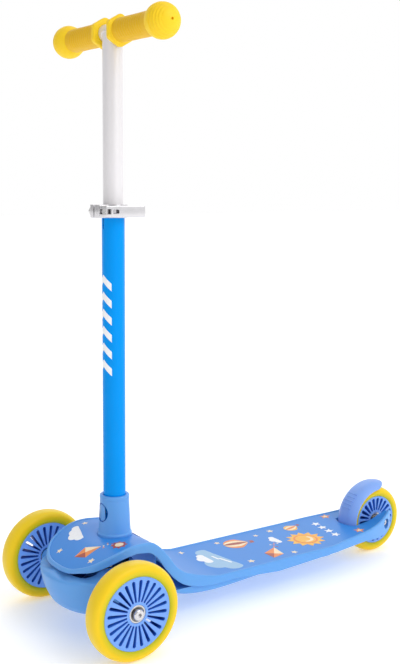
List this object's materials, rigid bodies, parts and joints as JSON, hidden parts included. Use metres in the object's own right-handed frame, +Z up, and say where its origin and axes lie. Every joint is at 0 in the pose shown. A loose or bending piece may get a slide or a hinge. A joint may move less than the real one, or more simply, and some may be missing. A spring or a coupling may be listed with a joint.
{
  "type": "kids three wheel kick scooter",
  "caption": "Kids kick scooter with a low moulded deck, lean-to-steer front truck, height adjustable T-bar with ball grips, quick-lever clamp and a sprung rear brake fender.",
  "frame": {"origin": "on the floor, under the middle of the overall length and width", "axes": "+X points forward, +Y to the rider's left, +Z up along the column"},
  "size_m": [0.61, 0.2698, 0.7692],
  "materials": {
    "body_plastic": "light blue moulded plastic, satin gloss",
    "hub_plastic": "cornflower blue moulded plastic",
    "fender_plastic": "periwinkle blue moulded plastic",
    "mat_skin": "printed mid blue mat with a satin skin",
    "dark_plastic": "dark blue nylon",
    "tyre": "cast yellow polyurethane, slightly translucent",
    "grip": "yellow soft rubber",
    "steel": "bright zinc plated steel",
    "blue_tube": "glossy azure paint on steel tube",
    "silver_tube": "satin white silver coat on steel tube"
  },
  "bodies": {
    "deck": {"deck_shell": "body_plastic", "under_shell": "body_plastic", "neck_socket": "body_plastic", "deck_mat": "mat_skin", "nose_mat": "mat_skin", "steering_bracket": "dark_plastic", "lower_tube": "blue_tube", "snap_pin_spring": "steel", "clamp_collar": "steel", "clamp_bolt": "steel", "clamp_nut": "steel", "clamp_barrel": "steel", "kingpin": "steel", "kingpin_nut": "steel", "steering_spring_left": "steel", "steering_spring_right": "steel", "rear_axle_bolt": "steel", "rear_axle_nut": "steel", "rear_axle_spacer_left": "steel", "rear_axle_spacer_right": "steel", "fender_pin": "steel", "fender_spring": "steel", "under_shell_screw_1": "steel", "neck_screw_1": "steel", "under_shell_screw_2": "steel", "neck_screw_2": "steel", "under_shell_screw_3": "steel", "neck_screw_3": "steel", "under_shell_screw_4": "steel", "neck_screw_4": "steel"},
    "truck": {"truck_housing": "body_plastic", "kingpin_bush_upper": "dark_plastic", "kingpin_bush_lower": "dark_plastic", "front_axle_bolt_left": "steel", "front_axle_bolt_right": "steel", "front_axle_nut_left": "steel", "front_axle_nut_right": "steel"},
    "front_left_wheel": {"front_left_tyre": "tyre", "front_left_hub": "hub_plastic", "front_left_bearing_outer": "steel", "front_left_bearing_inner": "steel", "front_left_bearing_sleeve": "steel"},
    "front_right_wheel": {"front_right_tyre": "tyre", "front_right_hub": "hub_plastic", "front_right_bearing_outer": "steel", "front_right_bearing_inner": "steel", "front_right_bearing_sleeve": "steel"},
    "rear_wheel": {"rear_tyre": "tyre", "rear_hub": "hub_plastic", "rear_bearing_outer": "steel", "rear_bearing_inner": "steel", "rear_bearing_sleeve": "steel"},
    "fender": {"brake_fender": "fender_plastic"},
    "lever": {"clamp_lever": "steel"},
    "handlebar": {"upper_tube": "silver_tube", "crossbar": "silver_tube", "grip_left": "grip", "grip_right": "grip"},
    "button": {"release_button": "body_plastic"},
    "pin": {"snap_pin": "steel"}
  },
  "joints": [
    {"name": "lean_steer", "type": "hinge", "parent": "deck", "child": "truck", "pos_m": [0.237, 0, 0.06], "axis": [0.7071, 0, 0.7071], "range_deg": [-10, 10], "stiffness_Nm_per_rad": 60, "deforming": ["steering_spring_left", "steering_spring_right"]},
    {"name": "front_left_wheel_spin", "type": "hinge", "parent": "truck", "child": "front_left_wheel", "pos_m": [0.245, 0.1167, 0.06], "axis": [0, 1, 0], "continuous": true},
    {"name": "front_right_wheel_spin", "type": "hinge", "parent": "truck", "child": "front_right_wheel", "pos_m": [0.245, -0.1167, 0.06], "axis": [0, 1, 0], "continuous": true},
    {"name": "rear_wheel_spin", "type": "hinge", "parent": "deck", "child": "rear_wheel", "pos_m": [-0.255, 0, 0.05], "axis": [0, 1, 0], "continuous": true},
    {"name": "brake_press", "type": "hinge", "parent": "deck", "child": "fender", "pos_m": [-0.198, 0, 0.042], "axis": [0, 1, 0], "range_deg": [-5.25, 0], "stiffness_Nm_per_rad": 3, "springref_deg": 8.59, "deforming": ["fender_spring"]},
    {"name": "clamp_lever_swing", "type": "hinge", "parent": "deck", "child": "lever", "pos_m": [0.223, 0.0183, 0.52925], "axis": [0, 0, -1], "range_deg": [0, 150]},
    {"name": "handlebar_height", "type": "slide", "parent": "deck", "child": "handlebar", "axis": [0, 0, 1], "range_m": [-0.15, 0]},
    {"name": "button_press", "type": "slide", "parent": "deck", "child": "button", "axis": [-1, 0, 0], "range_m": [0, 0.003], "stiffness_N_per_m": 300, "springref_m": -0.005},
    {"name": "snap_pin_push", "type": "slide", "parent": "deck", "child": "pin", "axis": [-1, 0, 0], "range_m": [0, 0.003], "stiffness_N_per_m": 300, "springref_m": -0.005, "deforming": ["snap_pin_spring"]}
  ],
  "couplings": [
    {"joint": "snap_pin_push", "follows": "button_press", "ratio": 1}
  ]
}
